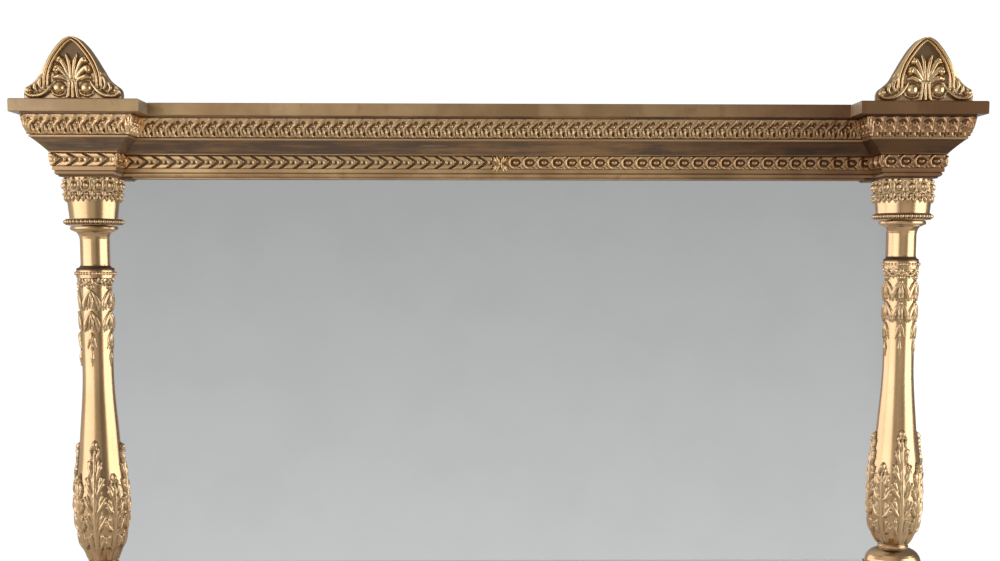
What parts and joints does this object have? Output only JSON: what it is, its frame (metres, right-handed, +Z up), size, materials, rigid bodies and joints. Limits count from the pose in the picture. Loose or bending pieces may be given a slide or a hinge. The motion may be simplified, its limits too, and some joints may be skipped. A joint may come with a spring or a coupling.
{
  "type": "overmantel mirror",
  "caption": "Gilt overmantel mirror: breakfront cornice with end blocks and pointed acroteria on two turned baluster columns, framing one plate",
  "frame": {"origin": "centre of the underside, halfway between the front of the end blocks and the back of the wall plates", "axes": "+X along the mirror to the viewer's right, +Y from the viewer into the wall, +Z up"},
  "size_m": [1.525, 0.158, 1.0585],
  "materials": {
    "pine": "aged unfinished pine",
    "peg_wood": "plain hardwood pegs and dowels",
    "backboard_pine": "rough sawn boards, darkened",
    "screw_steel": "countersunk wood screws",
    "brass": "stamped brass plate",
    "mirror": "silvered plate glass",
    "gilt_hollow": "worn water gilding over dark bole, rubbed in the hollow",
    "gilt_wood": "water-gilt gesso on pine, dulled gold",
    "burnished_gilt": "burnished water gilding on turned wood",
    "gilt_composition": "gilded composition ornament, dark in the hollows"
  },
  "bodies": {
    "root": {"stile_left": "pine", "stile_right": "pine", "top_rail": "pine", "bottom_rail": "pine", "corner_pegs": "peg_wood", "mirror_plate": "mirror", "plate_blocks": "pine", "backboard_left": "backboard_pine", "backboard_middle": "backboard_pine", "backboard_right": "backboard_pine", "backboard_screws": "screw_steel", "cornice_board_centre": "gilt_wood", "cornice_board_left": "gilt_wood", "cornice_board_right": "gilt_wood", "cornice_mould_centre": "gilt_hollow", "cornice_mould_left_outer": "gilt_hollow", "cornice_mould_left_front": "gilt_hollow", "cornice_mould_left_inner": "gilt_hollow", "cornice_mould_right_outer": "gilt_hollow", "cornice_mould_right_front": "gilt_hollow", "cornice_mould_right_inner": "gilt_hollow", "architrave_centre": "gilt_wood", "architrave_left_outer": "gilt_wood", "architrave_left_front": "gilt_wood", "architrave_left_inner": "gilt_wood", "architrave_right_outer": "gilt_wood", "architrave_right_front": "gilt_wood", "architrave_right_inner": "gilt_wood", "core_left": "pine", "core_right": "pine", "leaf_band_centre": "gilt_composition", "leaf_band_left": "gilt_composition", "leaf_band_right": "gilt_composition", "laurel_band_centre": "gilt_composition", "laurel_band_left": "gilt_composition", "laurel_band_right": "gilt_composition", "rosette": "gilt_composition", "acroterion_left": "gilt_composition", "acroterion_right": "gilt_composition", "acroterion_dowels": "peg_wood", "capital_left": "burnished_gilt", "capital_right": "burnished_gilt", "capital_leaves_left": "gilt_composition", "capital_leaves_right": "gilt_composition", "column_left": "burnished_gilt", "column_right": "burnished_gilt", "garland_left": "gilt_composition", "garland_right": "gilt_composition", "acanthus_left": "gilt_composition", "acanthus_right": "gilt_composition", "column_base_left": "burnished_gilt", "column_base_right": "burnished_gilt", "plinth_left": "gilt_wood", "plinth_right": "gilt_wood", "bottom_moulding": "gilt_wood", "wall_plate_left": "brass", "wall_plate_right": "brass", "wall_plate_screws": "screw_steel"}
  },
  "joints": []
}
